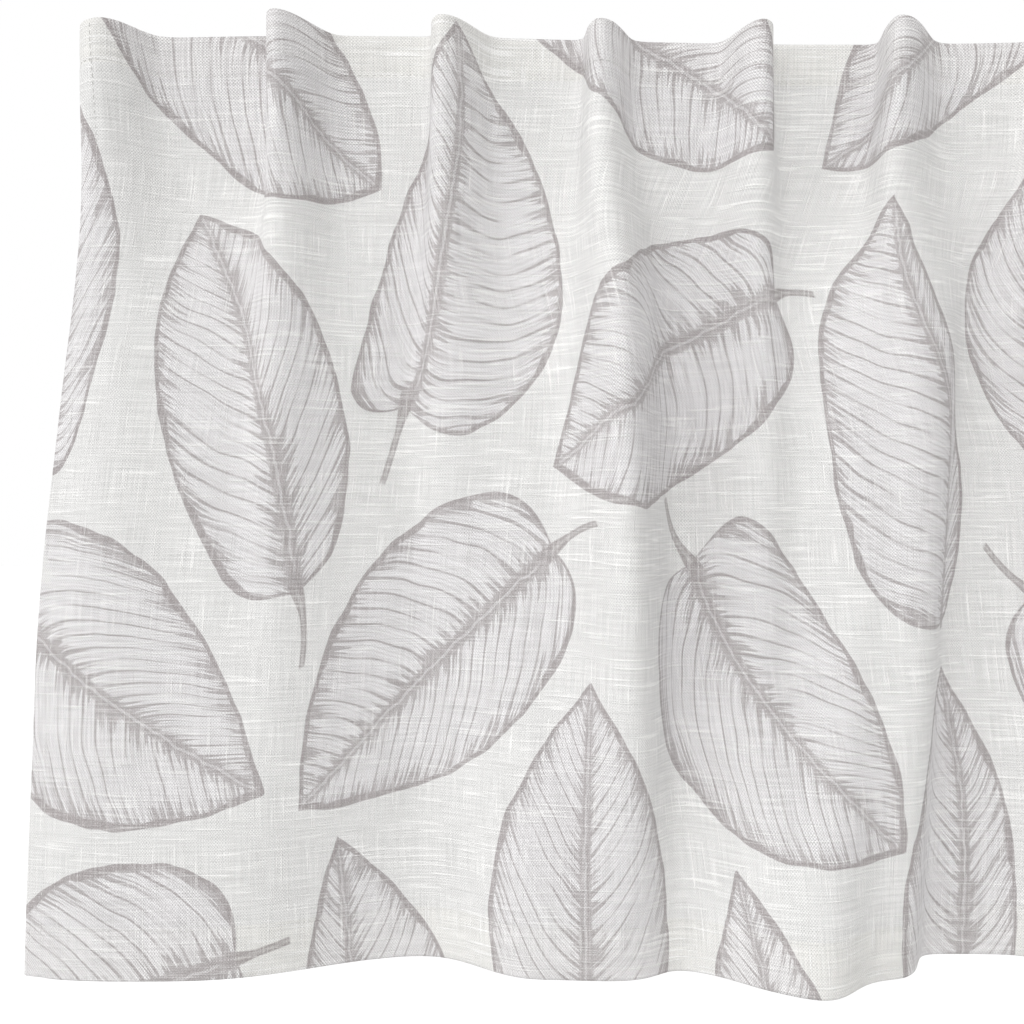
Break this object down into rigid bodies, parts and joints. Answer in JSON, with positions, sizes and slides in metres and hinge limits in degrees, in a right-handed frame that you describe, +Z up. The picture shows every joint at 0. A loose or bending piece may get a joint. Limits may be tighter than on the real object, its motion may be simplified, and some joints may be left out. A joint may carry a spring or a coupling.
{
  "type": "window valance",
  "caption": "Gathered linen-look window valance with a drawn leaf print, hung by its top edge in soft vertical folds.",
  "frame": {"origin": "middle of the hung width, on the back plane of the heading's valleys, at the level of the top edge", "axes": "+X along the hung width, to the viewer's right; -Y is the front of the cloth; +Z up"},
  "size_m": [0.9847, 0.0587, 0.4571],
  "materials": {
    "printed_linen": "off-white slubbed plain weave with a greige line print of large leaves"
  },
  "bodies": {
    "root": {"valance_panel": "printed_linen"}
  },
  "joints": []
}
